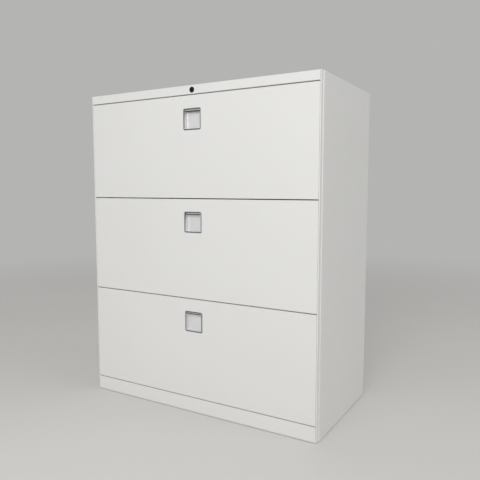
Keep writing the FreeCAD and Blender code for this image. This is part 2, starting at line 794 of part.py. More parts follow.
def make_barrel():
    body = rod("barrel_body", "barrel_radius", "barrel_length", ("0", FRONT, LOCK_Z), "+Y")
    flange = rod("barrel_flange_disc", "barrel_flange_radius", "barrel_flange",
                 ("0", f"{FRONT} - barrel_flange", LOCK_Z), "+Y")
    bore = rod("barrel_bore", "plug_radius + shaft_gap", "barrel_length + barrel_flange + 2 * overrun",
               ("0", f"{FRONT} - barrel_flange - overrun", LOCK_Z), "+Y")
    return keep(cut("barrel_cut", fuse("barrel_fuse", body, flange), bore), "lock_barrel")


def make_lock_nut():
    corners = [60 * k + 30 for k in range(6)]
    outline = [(f"nut_radius * cos({turn})", f"{LOCK_Z} + nut_radius * sin({turn})") for turn in corners]
    rear_y = f"({FRONT} + sheet + nut_thickness)"
    body = profile_body("lock_nut_body", "XZ_Plane", outline, f"-{rear_y}", "nut_thickness")
    hole = sketch_on(body, "XZ_Plane", "lock_nut_hole", f"-({FRONT} + sheet - overrun)")
    draw_circle(hole, "0", LOCK_Z, "barrel_radius + shaft_gap")
    pocket(body, hole, "nut_thickness + 2 * overrun", "lock_nut_hole_cut")
    return keep(body, "lock_nut")


def make_plug():
    front_y = f"({FRONT} - barrel_flange + plug_recess)"
    rear_y = f"({FRONT} + barrel_length)"
    core = rod("plug_core", "plug_radius", f"{rear_y} - {front_y}", ("0", front_y, LOCK_Z), "+Y")
    tail = rod("plug_tail_rod", "plug_radius / 2", "plug_tail", ("0", rear_y, LOCK_Z), "+Y")
    keyway = box("plug_keyway", ("-key_width / 2", "key_width / 2"),
                 (f"{front_y} - overrun", f"{front_y} + key_depth"),
                 (f"{LOCK_Z} - key_height / 2", f"{LOCK_Z} + key_height / 2"))
    return keep(cut("plug_cut", fuse("plug_fuse", core, tail), keyway), "lock_plug")


def make_cam():
    """An arm from the plug to its crank pin, at rest down to the right."""
    hub = rod("cam_hub", "plug_radius", "cam_thickness", ("0", CAM_Y, LOCK_Z), "+Y")
    low = f"{LOCK_Z} - {THROW}"
    knuckle = rod("cam_knuckle", "cam_width / 2", "cam_thickness", (THROW, CAM_Y, low), "+Y")
    crank = rod("cam_crank", "crank_radius", "crank_length", (THROW, f"{CAM_Y} + cam_thickness", low), "+Y")
    arm = doc.addObject("Part::Box", "cam_arm")
    bind(arm, Length="cam_radius", Width="cam_thickness", Height="cam_width")
    arm.Placement.Rotation = FreeCAD.Rotation(FreeCAD.Vector(0, 1, 0), 45)
    place(arm, "-cam_width / 2 * sqrt(0.5)", CAM_Y, f"{LOCK_Z} - cam_width / 2 * sqrt(0.5)")
    return keep(fuse("cam_fuse", hub, knuckle, arm, crank), "lock_cam")


def make_link():
    """A strip with a yoke round the crank pin and a 45 degree slot round the bar's pin."""
    slack = "(bar_pin_radius + trim_gap)"
    yoke = "(crank_radius + yoke_play)"
    margin = f"({slack} + 2 * link_thickness)"
    head_x = (f"({PIN_X} - {margin})", f"({PIN_X} + {TRAVEL} + {margin})")
    head_z = (f"({PIN_Z} - {margin})", f"({PIN_Z} + {TRAVEL} + {margin})")
    outline = [
        (f"{THROW} - {yoke} - link_height / 2", LINK_Z[0]),
        (head_x[0], LINK_Z[0]),
        (head_x[0], head_z[0]),
        (head_x[1], head_z[0]),
        (head_x[1], head_z[1]),
        (head_x[0], head_z[1]),
        (head_x[0], LINK_Z[1]),
        (f"{THROW} - {yoke} - link_height / 2", LINK_Z[1]),
    ]
    body = profile_body("link_body", "XZ_Plane", outline, f"-({LINK_Y} + link_thickness)", "link_thickness")
    slots = sketch_on(body, "XZ_Plane", "link_slots", f"-({LINK_Y} - overrun)")
    draw_outline(slots, rectangle((f"{THROW} - {yoke}", f"{THROW} + {yoke}"),
                                  (f"{LOCK_Z} - cam_radius - {yoke}", f"{LOCK_Z} - {THROW} + {yoke}")))
    reach = f"({slack} * sqrt(0.5))"
    near, far = f"-2 * {reach}", f"{TRAVEL} + 2 * {reach}"
    draw_outline(slots, [
        (PIN_X, f"{PIN_Z} {near}"),
        (f"{PIN_X} + {far}", f"{PIN_Z} + {TRAVEL}"),
        (f"{PIN_X} + {TRAVEL}", f"{PIN_Z} + {far}"),
        (f"{PIN_X} {near}", PIN_Z),
    ])
    pocket(body, slots, "link_thickness + 2 * overrun", "link_slots_cut")
    return keep(body, "lock_link")


def make_lock_bar():
    """A strip with a welded tab for each drawer's catch, lifted by a pin in the link's slot."""
    tip = f"({UPRIGHT_FACE} - tab_tip)"
    y = (BAR_Y, f"{BAR_Y} + bar_thickness")
    welded = [box("bar_strip", BAR_X, y, ("bar_foot", f"{PIN_Z} + bar_head"))]
    for level in LEVELS:
        rise = (tab_z(level), f"{tab_z(level)} + tab_height")
        welded.append(box(f"bar_tab_{level}", (tip, BAR_X[0]), y, rise))
    welded.append(rod("bar_pin", "bar_pin_radius", f"{BAR_Y} - {LINK_Y} + link_gap / 2",
                      (PIN_X, f"{LINK_Y} - link_gap / 2", PIN_Z), "+Y"))
    return keep(group("lock_bar_group", *welded), "lock_bar")


# Small parts in rows

def make_buffers():
    length = f"{FRAME} - {FRONT_REAR} - trim_gap"
    studs = []
    for word, side in SIDES.items():
        for level in LEVELS:
            for step in (0, 1):
                z = f"{drawer_bottom(level)} + buffer_rise + {step} * buffer_spread"
                studs.append(rod(f"buffer_{word}_{level}_{step}", "buffer_radius", length,
                                 (f"{side} * ({LIP} - buffer_inset)", f"{FRAME} - ({length})", z), "+Y"))
    return keep(group("buffer_group", *studs), "drawer_buffers")


def make_screws():
    screws = []
    for word, side in SIDES.items():
        for index in range(SIZES["screw_count"]):
            x = f"{side} * (width / 2 - screw_inset)"
            stem = rod(f"screw_stem_{word}_{index}", "screw_radius", "screw_length",
                       (x, f"{BACK} - screw_length", screw_z(index)), "+Y")
            head = rod(f"screw_head_{word}_{index}", "screw_head_radius", "screw_head",
                       (x, BACK, screw_z(index)), "+Y")
            screws.append(fuse(f"screw_{word}_{index}", stem, head))
    return keep(group("screw_group", *screws), "back_screws")


def make_carcass():
    make_top_panel()
    make_back_panel()
    make_bottom_panel()
    make_plinth()
    make_top_rail()
    for word, side in SIDES.items():
        make_side_panel(word, side)
        make_upright(word, side, "front", UPRIGHT_FRONT)
        make_upright(word, side, "rear", UPRIGHT_REAR)
        make_base_runner(word, side)
    for spot, foot_y in FOOT_Y.items():
        make_levelling_feet(spot, foot_y)
    make_buffers()
    make_screws()


def make_drawer(level):
    make_drawer_front(level)
    make_drawer_liner(level)
    make_tray(level)
    make_file_bars(level)
    make_slides(level)
    make_bezel(level)
    make_cup(level)
    make_grip(level)
    make_latch_shaft(level)
    make_bushes(level)


def make_lock():
    make_barrel()
    make_lock_nut()
    make_plug()
    make_cam()
    make_link()
    make_lock_bar()


def check_and_write():
    """Write every sub-part, once the whole document is sound."""
    doc.recompute()
    faulty = [item.Name for item in doc.Objects if "Invalid" in item.State or "Error" in item.State]
    if faulty:
        raise ValueError(f"failed objects: {faulty}")
    for node, item in finished.items():
        if item.Shape.isNull() or not item.Shape.isValid() or not item.Shape.Solids:
            raise ValueError(f"{node} is not a valid solid")
    os.makedirs("parts", exist_ok=True)
    for node, item in finished.items():
        item.Shape.exportStep(f"parts/{node}.step")
    print(f"{len(finished)} sub-parts written")


make_carcass()
for level in LEVELS:
    make_drawer(level)
make_lock()
check_and_write()
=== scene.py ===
import json
import math

import bmesh
import bpy
from mathutils import Matrix, Vector

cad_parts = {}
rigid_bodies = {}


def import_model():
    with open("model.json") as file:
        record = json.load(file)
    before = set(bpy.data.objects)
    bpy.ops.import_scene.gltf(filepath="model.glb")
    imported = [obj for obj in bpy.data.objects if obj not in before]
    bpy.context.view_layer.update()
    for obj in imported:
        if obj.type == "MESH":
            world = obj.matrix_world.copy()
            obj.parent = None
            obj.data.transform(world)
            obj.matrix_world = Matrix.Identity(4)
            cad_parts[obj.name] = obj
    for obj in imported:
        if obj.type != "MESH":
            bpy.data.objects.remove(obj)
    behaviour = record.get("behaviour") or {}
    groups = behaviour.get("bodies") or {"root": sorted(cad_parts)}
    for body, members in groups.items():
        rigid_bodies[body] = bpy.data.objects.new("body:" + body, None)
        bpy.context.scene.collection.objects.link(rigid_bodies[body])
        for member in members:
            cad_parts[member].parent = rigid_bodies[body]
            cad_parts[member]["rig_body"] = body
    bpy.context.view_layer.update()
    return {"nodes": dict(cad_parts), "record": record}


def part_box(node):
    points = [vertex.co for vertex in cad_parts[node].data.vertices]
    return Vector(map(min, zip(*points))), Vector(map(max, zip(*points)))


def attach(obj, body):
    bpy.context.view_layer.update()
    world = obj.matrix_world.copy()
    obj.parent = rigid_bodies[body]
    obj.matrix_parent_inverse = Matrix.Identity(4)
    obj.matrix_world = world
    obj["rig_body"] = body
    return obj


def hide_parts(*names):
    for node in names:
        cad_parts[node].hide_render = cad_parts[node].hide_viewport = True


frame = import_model()
mm = 0.001
drawerLevels = (1, 2, 3)  # the top drawer first
slotOfNode = {part["node"]: part["material_slot"] for part in frame["record"]["subparts"]}
print("frame loaded:", len(frame["nodes"]), "nodes")

# camera, lamps, floor and surroundings

cameraView = {
    "place": (1.0198, -1.6514, 0.7644),
    "turn": (84.484, 0.0, 30.457),
    "lens": 39.55,
    "sensor": 36.0,
}
studio = {
    "wall": "#B4B4B2",           # what the camera and the metal see round the cabinet
    "sky": "#FFFFFF",
    "skyLevel": 0.5,             # even light from all round
    "floor": "#DEDCD9",
    "floorPatch": "#DAD8D5",
    "floorPatchSize": 0.8,
    "floorRoughness": 0.8,
    "floorRadius": 12.0,
    "floorFade": (1.6, 5.0),     # metres over which the floor runs into the wall's colour
}
softboxes = {                    # metres and watts
    "frontSoftbox": {"place": (1.1, -2.9, 2.5), "target": (0.1, 0.0, 0.6), "size": (2.0, 1.6),
                     "power": 47, "colour": "#FFFEFC"},
    "leftSoftbox": {"place": (-0.55, -3.2, 1.1), "target": (0.0, 0.0, 0.6), "size": (0.9, 2.1),
                    "power": 10, "colour": "#FAFCFF"},
    "rightSoftbox": {"place": (3.4, 0.2, 2.1), "target": (0.4, 0.0, 0.6), "size": (2.0, 2.0),
                     "power": 12, "colour": "#FFFFFF"},
}


def linearColour(hexText):
    levels = [int(hexText[k:k + 2], 16) / 255 for k in (1, 3, 5)]
    return [v / 12.92 if v <= 0.04045 else ((v + 0.055) / 1.055) ** 2.4 for v in levels] + [1.0]


def addNode(tree, kind, inputs=None, **settings):
    node = tree.nodes.new(kind)
    for name, value in settings.items():
        setattr(node, name, value)
    for name, value in (inputs or {}).items():
        if isinstance(value, bpy.types.NodeSocket):
            tree.links.new(value, node.inputs[name])
        else:
            node.inputs[name].default_value = value
    return node


def addToScene(name, data):
    item = bpy.data.objects.new(name, data)
    bpy.context.scene.collection.objects.link(item)
    return item


def seenRays(tree):  # 1 where the camera, a reflection or a clear body looks, 0 where light spreads
    ray = addNode(tree, "ShaderNodeLightPath").outputs
    seen = ray["Is Camera Ray"]
    for kind in ("Is Glossy Ray", "Is Transmission Ray"):
        seen = addNode(tree, "ShaderNodeMath", {0: seen, 1: ray[kind]}, operation="MAXIMUM").outputs[0]
    return seen


cameraData = bpy.data.cameras.new("photoCamera")
cameraData.sensor_width = cameraView["sensor"]
cameraData.lens = cameraView["lens"]
photoCamera = addToScene("photoCamera", cameraData)
photoCamera.location = cameraView["place"]
photoCamera.rotation_euler = [math.radians(angle) for angle in cameraView["turn"]]
bpy.context.scene.camera = photoCamera
bpy.context.scene.view_settings.view_transform = "Standard"

for name, box in softboxes.items():
    lamp = bpy.data.lights.new(name, "AREA")
    lamp.shape = "RECTANGLE"
    lamp.size, lamp.size_y = box["size"]
    lamp.energy = box["power"]
    lamp.color = linearColour(box["colour"])[:3]
    softbox = addToScene(name, lamp)
    softbox.location = box["place"]
    softbox.rotation_euler = (Vector(box["place"]) - Vector(box["target"])).to_track_quat("Z", "Y").to_euler()

world = bpy.data.worlds.new("studioWorld")
bpy.context.scene.world = world
world.use_nodes = True
sky = world.node_tree
sky.nodes.clear()
skyLight = addNode(sky, "ShaderNodeBackground",
                   {"Color": linearColour(studio["sky"]), "Strength": studio["skyLevel"]}).outputs[0]
wallLight = addNode(sky, "ShaderNodeBackground", {"Color": linearColour(studio["wall"]), "Strength": 1.0}).outputs[0]
bothLights = addNode(sky, "ShaderNodeMixShader", {0: seenRays(sky), 1: skyLight, 2: wallLight}).outputs[0]
addNode(sky, "ShaderNodeOutputWorld", {"Surface": bothLights})
print("camera and light set")

# finishes


def newFinish(name):
    material = bpy.data.materials.new(name)
    material.use_nodes = True
    tree = material.node_tree
    tree.nodes.clear()
    shader = addNode(tree, "ShaderNodeBsdfPrincipled")
    addNode(tree, "ShaderNodeOutputMaterial", {"Surface": shader.outputs[0]})
    place = addNode(tree, "ShaderNodeTexCoord").outputs["Object"]
    return material, tree, shader, place


def patternOf(tree, place, size, detail=2.0):  # soft noise whose lumps are about this size in metres
    return addNode(tree, "ShaderNodeTexNoise", {"Vector": place, "Scale": 1.0 / size, "Detail": detail}).outputs["Fac"]


def blendOf(tree, share, firstHex, secondHex):
    return addNode(tree, "ShaderNodeMix", {0: share, 6: linearColour(firstHex), 7: linearColour(secondHex)},
                   data_type="RGBA").outputs[2]


def paintSurface(tree, shader, place, look):  # colour drifts between two near tones, gloss varies, bump is the grain
    drift = blendOf(tree, patternOf(tree, place, look["driftSize"], 3.0), look["colour"], look["drift"])
    tree.links.new(drift, shader.inputs["Base Color"])
    gloss = addNode(tree, "ShaderNodeMapRange", {"Value": patternOf(tree, place, look["smudgeSize"], 5.0),
                    "From Min": 0.3, "From Max": 0.7, "To Min": look["roughness"][0], "To Max": look["roughness"][1]})
    tree.links.new(gloss.outputs[0], shader.inputs["Roughness"])
    bump = addNode(tree, "ShaderNodeBump", {"Height": patternOf(tree, place, look["grainSize"]),
                   "Strength": look["grainStrength"], "Distance": look["grainHeight"]})
    tree.links.new(bump.outputs[0], shader.inputs["Normal"])
    shader.inputs["Metallic"].default_value = look["metallic"]


# polyester powder coat, baked on steel: near-white, satin, with a faint orange peel drawn twice its 2 mm
satinPowderCoat = {
    "colour": "#E8E8E7", "drift": "#E4E4E2", "driftSize": 0.35, "smudgeSize": 0.12, "roughness": (0.36, 0.5),
    "grainSize": 0.004, "grainStrength": 0.25, "grainHeight": 0.00006, "metallic": 0.0,
}
# electroplated zinc on cold-rolled steel: cool grey, half-matt, cloudy where it was passivated
zincPlate = {
    "colour": "#B4B7BA", "drift": "#A4A8AC", "driftSize": 0.03, "smudgeSize": 0.015, "roughness": (0.3, 0.45),
    "grainSize": 0.0016, "grainStrength": 0.2, "grainHeight": 0.00003, "metallic": 1.0,
}
# satin chrome on a zinc die casting, with soft reflections; its base colour is darker than plated chrome, a painted
# dark reflection that makes it show darker than its surroundings
satinChrome = {
    "colour": "#8E9092", "drift": "#848688", "driftSize": 0.02, "smudgeSize": 0.01, "roughness": (0.2, 0.3),
    "grainSize": 0.0008, "grainStrength": 0.1, "grainHeight": 0.00001, "metallic": 1.0,
}
# silver-pigmented ABS, injection moulded: light grey, smooth, with metal flake in the plastic
silverAbs = {
    "colour": "#EEEDEE", "drift": "#E7E6E8", "driftSize": 0.012, "smudgeSize": 0.02, "roughness": (0.3, 0.36),
    "grainSize": 0.0007, "grainStrength": 0.15, "grainHeight": 0.00002, "metallic": 0.35,
}
# black nickel plate on the brass lock: almost black and fairly sharp
blackNickel = {
    "colour": "#3A3A3C", "drift": "#323234", "driftSize": 0.006, "smudgeSize": 0.004, "roughness": (0.24, 0.36),
    "grainSize": 0.0006, "grainStrength": 0.1, "grainHeight": 0.00001, "metallic": 1.0,
}
# glass-filled nylon, moulded black: dull with a spark-eroded grain
blackNylon = {
    "colour": "#1E1E1F", "drift": "#262627", "driftSize": 0.01, "smudgeSize": 0.008, "roughness": (0.5, 0.65),
    "grainSize": 0.0009, "grainStrength": 0.4, "grainHeight": 0.00004, "metallic": 0.0,
}
# moulded rubber: dark grey and matt; the same finish is the painted shade on the strip under each pull grip
rubberAndPaintedShade = {
    "colour": "#2B2B2A", "drift": "#353533", "driftSize": 0.008, "smudgeSize": 0.006, "roughness": (0.7, 0.85),
    "grainSize": 0.001, "grainStrength": 0.3, "grainHeight": 0.00004, "metallic": 0.0,
}

finishOfSlot = {}
for slotName, finishName, look in (("white_steel", "satinPowderCoatSteel", satinPowderCoat),
                                   ("zinc_steel", "electroZincPlatedSteel", zincPlate),
                                   ("chrome_trim", "satinChromePlatedZinc", satinChrome),
                                   ("silver_plastic", "silverMouldedAbs", silverAbs),
                                   ("dark_metal", "blackNickelPlatedBrass", blackNickel),
                                   ("black_plastic", "blackMouldedNylon", blackNylon),
                                   ("rubber", "greyMouldedRubber", rubberAndPaintedShade)):
    finish, tree, shader, place = newFinish(finishName)
    paintSurface(tree, shader, place, look)
    finishOfSlot[slotName] = finish
print("finishes made:", len(finishOfSlot))

# floor: matt paint near the cabinet, the wall's colour far away

floorFinish, tree, shader, place = newFinish("mattPaintedFloor")
patches = patternOf(tree, place, studio["floorPatchSize"], 3.0)
tree.links.new(blendOf(tree, patches, studio["floor"], studio["floorPatch"]), shader.inputs["Base Color"])
shader.inputs["Roughness"].default_value = studio["floorRoughness"]
distance = addNode(tree, "ShaderNodeVectorMath", {0: place}, operation="LENGTH").outputs["Value"]
nearEnd, farEnd = studio["floorFade"]
fade = addNode(tree, "ShaderNodeMapRange", {"Value": distance, "From Min": nearEnd, "From Max": farEnd},
               interpolation_type="SMOOTHERSTEP").outputs[0]
fade = addNode(tree, "ShaderNodeMath", {0: fade, 1: seenRays(tree)}, operation="MULTIPLY").outputs[0]
farTone = addNode(tree, "ShaderNodeEmission", {"Color": linearColour(studio["wall"]), "Strength": 1.0}).outputs[0]
blended = addNode(tree, "ShaderNodeMixShader", {0: fade, 1: shader.outputs[0], 2: farTone}).outputs[0]
tree.links.new(blended, tree.nodes["Material Output"].inputs["Surface"])
floorShape = bmesh.new()
bmesh.ops.create_circle(floorShape, cap_ends=True, radius=studio["floorRadius"], segments=96)
floorMesh = bpy.data.meshes.new("studioFloor")
floorShape.to_mesh(floorMesh)
floorShape.free()
floorMesh.materials.append(floorFinish)
studioFloor = addToScene("studioFloor", floorMesh)
print("floor laid")

# pieces

shading = {"sharpAngle": 42}  # degrees from which an edge is shaded sharp


def pieceNameOf(node):
    first, *others = node.split("_")
    return first + "".join(word.capitalize() for word in others)


def finishPiece(shape, *nodes, ending="", slotName=None):  # a mesh that stands for these nodes and rides with them
    name, body = pieceNameOf(nodes[0]) + ending, frame["nodes"][nodes[0]]["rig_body"]
    slotName = slotName or slotOfNode[nodes[0]]
    mesh = bpy.data.meshes.new(name)
    shape.to_mesh(mesh)
    shape.free()
    mesh.materials.append(finishOfSlot[slotName])
    mesh.shade_smooth()
    mesh.set_sharp_from_angle(angle=math.radians(shading["sharpAngle"]))
    piece = addToScene(name, mesh)
    evenShading = piece.modifiers.new("evenShading", "WEIGHTED_NORMAL")
    evenShading.keep_sharp = True
    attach(piece, body)
    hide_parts(*nodes)
    return piece


def cornersOf(node):  # the corners of the node's box, in millimetres
    low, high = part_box(node)
    return [v / mm for v in low], [v / mm for v in high]


def middleOf(low, high):
    return [(a + b) / 2 for a, b in zip(low, high)]


def mergedCopy(node):  # the node's own shape as one clean skin
    shape = bmesh.new()
    shape.from_mesh(frame["nodes"][node].data)
    bmesh.ops.remove_doubles(shape, verts=shape.verts[:], dist=0.002 * mm)
    bmesh.ops.dissolve_limit(shape, angle_limit=math.radians(0.6), verts=shape.verts[:], edges=shape.edges[:])
    return shape


def solidsOf(node):  # the corners of each separate solid of a node, in millimetres, the largest first
    shape = mergedCopy(node)
    waiting, boxes = set(shape.verts), []
    while waiting:
        found, reached = [], [waiting.pop()]
        while reached:
            vert = reached.pop()
            found.append(vert.co / mm)
            near = {edge.other_vert(vert) for edge in vert.link_edges} & waiting
            waiting -= near
            reached += near
        low, high = ([choose(point[axis] for point in found) for axis in range(3)] for choose in (min, max))
        boxes.append((low, high))
    shape.free()

    def rank(box):
        return -round(math.prod(b - a for a, b in zip(*box))), [round(v, 2) for v in box[0]]

    return sorted(boxes, key=rank)


def addBox(shape, low, high):  # a plain box between two corners, in millimetres
    made = bmesh.ops.create_cube(shape, size=1.0)["verts"]
    bmesh.ops.scale(shape, vec=[(b - a) * mm for a, b in zip(low, high)], verts=made)
    bmesh.ops.translate(shape, vec=[v * mm for v in middleOf(low, high)], verts=made)
    return made


def addEasedBox(shape, low, high, radius):
    made = addBox(shape, low, high)
    edges = list(dict.fromkeys(edge for vert in made for edge in vert.link_edges))
    bmesh.ops.bevel(shape, geom=edges, offset=radius * mm, segments=2, profile=0.5, affect="EDGES", material=-1)


def spinProfile(shape, points, centre, axis, steps):  # turns (radius, along) points, in millimetres, round an axis
    side = Vector((0, 0, 1)) if abs(axis[2]) < 0.5 else Vector((1, 0, 0))
    before = set(shape.verts)
    ring = [shape.verts.new((Vector(centre) + side * radius + Vector(axis) * along) * mm) for radius, along in points]
    edges = [shape.edges.new(pair) for pair in zip(ring, ring[1:])]
    bmesh.ops.spin(shape, geom=ring + edges, cent=Vector(centre) * mm, axis=axis, angle=math.tau, steps=steps,
                   use_merge=True)
    made = [vert for vert in shape.verts if vert not in before]
    bmesh.ops.remove_doubles(shape, verts=made, dist=0.001 * mm)
    bmesh.ops.recalc_face_normals(shape, faces=shape.faces[:])


def sinkPit(shape, centre, radius, outline, depth):  # closes an open ring round a pit that is sunk along Y
    def isOpen(edge):
        return edge.is_boundary and all(abs((v.co / mm - Vector(centre)).length - radius) < 0.01 for v in edge.verts)

    rim = [edge for edge in shape.edges if isOpen(edge)]
    mouth = [shape.verts.new((Vector(centre) + Vector((across, 0, up))) * mm) for across, up in outline]
    lip = [shape.edges.new(pair) for pair in zip(mouth, mouth[1:] + mouth[:1])]
    bmesh.ops.triangle_fill(shape, use_beauty=True, edges=rim + lip)
    floor = [shape.verts.new(vert.co + Vector((0, depth * mm, 0))) for vert in mouth]
    for index, vert in enumerate(mouth):
        shape.faces.new((mouth[index - 1], vert, floor[index], floor[index - 1]))
    shape.faces.new(floor)
    bmesh.ops.recalc_face_normals(shape, faces=shape.faces[:])


# how a folded sheet is rounded: only edges sharper than this count, a face wider than so many sheets is a face and
# not a cut edge, no radius takes more than this share of a face, and radii above this get more segments
sheetRules = {"sharpAngle": 50, "broad": 1.3, "share": 0.45, "fineFrom": 0.7, "fineSegments": 4, "segments": 2}


def roundSheet(shape, look):  # folds get the bend radius, cut edges only lose their burr
    def sharpEdges():  # each sharp edge with the width of the narrower face beside it
        widthOf = {face: 2 * face.calc_area() / max(face.calc_perimeter(), mm) for face in shape.faces}
        for edge in shape.edges:
            if len(edge.link_faces) == 2 and edge.calc_face_angle(0.0) > math.radians(sheetRules["sharpAngle"]):
                yield edge, min(widthOf[face] for face in edge.link_faces)

    def bevelBySize(sizes):
        groups = {}
        for edge, size in sizes:
            groups.setdefault(round(size, 5), []).append(edge)
        for size, edges in sorted(groups.items(), reverse=True):
            edges = [edge for edge in edges if edge.is_valid]
            segments = sheetRules["fineSegments" if size > sheetRules["fineFrom"] * mm else "segments"]
            if edges:
                bmesh.ops.bevel(shape, geom=edges, offset=size, offset_type="OFFSET", segments=segments, profile=0.5,
                                affect="EDGES", clamp_overlap=True, material=-1)

    broad = sheetRules["broad"] * look["sheet"] * mm
    for radius, outward in ((look["fold"] * mm, True), (look["inner"] * mm, False)):
        bevelBySize([(edge, min(radius, sheetRules["share"] * narrow)) for edge, narrow in sharpEdges()
                     if narrow > broad and edge.is_convex == outward])
    bevelBySize([(edge, look["cut"] * mm) for edge, narrow in sharpEdges()])


# bend radii in millimetres: sheet thickness, outside of a fold, inside of a fold, cut edges
sheetLooks = {
    "side_panel": {"sheet": 1.0, "fold": 0.9, "inner": 0.5, "cut": 0.25},
    "top_panel": {"sheet": 1.0, "fold": 1.2, "inner": 0.5, "cut": 0.2},
    "back_panel": {"sheet": 1.0, "fold": 1.0, "inner": 0.5, "cut": 0.2},
    "bottom_panel": {"sheet": 1.0, "fold": 1.2, "inner": 0.5, "cut": 0.2},
    "plinth_front": {"sheet": 1.0, "fold": 1.6, "inner": 0.6, "cut": 0.25},
    "top_rail": {"sheet": 1.0, "fold": 1.6, "inner": 0.6, "cut": 0.25},
    "upright": {"sheet": 1.2, "fold": 1.8, "inner": 0.6, "cut": 0.2},
    "base_runner": {"sheet": 1.2, "fold": 1.8, "inner": 0.6, "cut": 0.2},
    "front": {"sheet": 1.0, "fold": 1.4, "inner": 0.8, "cut": 0.25},
    "liner": {"sheet": 1.0, "fold": 1.0, "inner": 0.5, "cut": 0.2},
    "file_bars": {"sheet": 2.0, "fold": 1.5, "inner": 1.0, "cut": 0.6},
    "slides": {"sheet": 1.2, "fold": 1.6, "inner": 0.5, "cut": 0.3},
    "pull_cup": {"sheet": 1.2, "fold": 2.6, "inner": 5.2, "cut": 0.25},
    "pull_grip": {"sheet": 4.0, "fold": 1.3, "inner": 1.0, "cut": 1.2},
    "latch_shaft": {"sheet": 2.0, "fold": 0.6, "inner": 0.5, "cut": 0.3},
    "shaft_bushes": {"sheet": 1.0, "fold": 0.8, "inner": 0.5, "cut": 0.3},
    "lock_nut": {"sheet": 1.0, "fold": 0.5, "inner": 0.3, "cut": 0.3},
    "lock_cam": {"sheet": 2.0, "fold": 0.4, "inner": 0.3, "cut": 0.25},
    "lock_link": {"sheet": 1.5, "fold": 0.5, "inner": 0.3, "cut": 0.25},
    "drawer_buffers": {"sheet": 1.0, "fold": 0.8, "inner": 0.5, "cut": 0.5},
}
madeByHand = ("tray", "bezel", "pull_grip", "lock_barrel", "lock_plug", "lock_bar", "back_screws", "levelling_feet")
for node in sorted(frame["nodes"]):
    if not any(word in node for word in madeByHand):
        ending = max((key for key in sheetLooks if node.endswith(key)), key=len)
        sheetShape = mergedCopy(node)
        roundSheet(sheetShape, sheetLooks[ending])
        finishPiece(sheetShape, node)
print("sheet pieces dressed")

# drawer trays: welded pans, and the catch that the lock bar blocks
trayLook = {"corner": 3.0, "sheet": 1.0, "catchEdge": 0.6}
for level in drawerLevels:
    node = f"drawer_{level}_tray"
    pan, catch = solidsOf(node)
    tray = bmesh.new()
    addBox(tray, *pan)
    lid = max(tray.faces, key=lambda face: face.calc_center_median().z)
    bmesh.ops.delete(tray, geom=[lid], context="FACES_ONLY")
    folds = [edge for edge in tray.edges if len(edge.link_faces) == 2]
    bmesh.ops.bevel(tray, geom=folds, offset=trayLook["corner"] * mm, segments=4, profile=0.5, affect="EDGES",
                    material=-1)
    bmesh.ops.recalc_face_normals(tray, faces=tray.faces[:])
    bmesh.ops.solidify(tray, geom=tray.faces[:], thickness=trayLook["sheet"] * mm)
    addEasedBox(tray, *catch, trayLook["catchEdge"])
    finishPiece(tray, node)
print("trays made")

# pull bezels: a die-cast frame whose face slopes outwards
bezelLook = {
    "corner": 5.4,
    "edgeRise": 0.3,
    "steps": ((0.25, 0.12), (2.55, 0.62), (0.45, 0.14), (0.35, 0.0), (0.4, -0.2)),  # width inwards and rise
}
ringWidth = sum(width for width, rise in bezelLook["steps"])
for level in drawerLevels:
    node = f"drawer_{level}_pull_bezel"
    low, high = cornersOf(node)
    bezel = bmesh.new()
    made = bmesh.ops.create_grid(bezel, x_segments=1, y_segments=1, size=0.5)["verts"]
    bmesh.ops.scale(bezel, vec=((high[0] - low[0]) * mm, (high[2] - low[2]) * mm, 1), verts=made)
    bmesh.ops.rotate(bezel, verts=made, cent=(0, 0, 0), matrix=Matrix.Rotation(math.radians(90), 3, "X"))
    bmesh.ops.translate(bezel, vec=(0, high[1] * mm, middleOf(low, high)[2] * mm), verts=made)
    bmesh.ops.bevel(bezel, geom=made, offset=bezelLook["corner"] * mm, segments=8, profile=0.5, affect="VERTICES",
                    material=-1)
    back = bezel.faces[:][0]
    made = bmesh.ops.extrude_face_region(bezel, geom=[back], use_keep_orig=True)["geom"]
    front = [item for item in made if isinstance(item, bmesh.types.BMFace)]
    bmesh.ops.translate(bezel, vec=(0, -bezelLook["edgeRise"] * mm, 0), verts=front[0].verts[:])
    for width, rise in bezelLook["steps"]:
        bmesh.ops.inset_region(bezel, faces=front, thickness=width * mm, depth=rise * mm, use_even_offset=True)
    bmesh.ops.inset_region(bezel, faces=[back], thickness=ringWidth * mm, use_even_offset=True)
    rims = list(front[0].edges) + list(back.edges)
    bmesh.ops.delete(bezel, geom=front + [back], context="FACES_ONLY")
    bmesh.ops.bridge_loops(bezel, edges=rims)
    bmesh.ops.recalc_face_normals(bezel, faces=bezel.faces[:])
    finishPiece(bezel, node)
print("pull bezels made")

# pull grips: a rounded bar behind the bezel, whose lower edge is cut off as a dark strip: painted shade standing for
# the shadow under the grip
gripLook = {"stripHeight": 3.0}
for level in drawerLevels:
    node = f"drawer_{level}_pull_grip"
    parting = (0, 0, (cornersOf(node)[0][2] + gripLook["stripHeight"]) * mm)
    grip = mergedCopy(node)
    roundSheet(grip, sheetLooks["pull_grip"])
    # the lower part gets the dark rubber finish: painted shade under the grip, not a real rubber edge
    for upper, options in ((True, {}), (False, {"ending": "Strip", "slotName": "rubber"})):
        half = grip.copy()
        bmesh.ops.bisect_plane(half, geom=half.verts[:] + half.edges[:] + half.faces[:], plane_co=parting,
                               plane_no=(0, 0, 1), clear_inner=upper, clear_outer=not upper)
        bmesh.ops.holes_fill(half, edges=[edge for edge in half.edges if edge.is_boundary], sides=0)
        bmesh.ops.recalc_face_normals(half, faces=half.faces[:])
        finishPiece(half, node, **options)
    grip.free()
print("pull grips made")

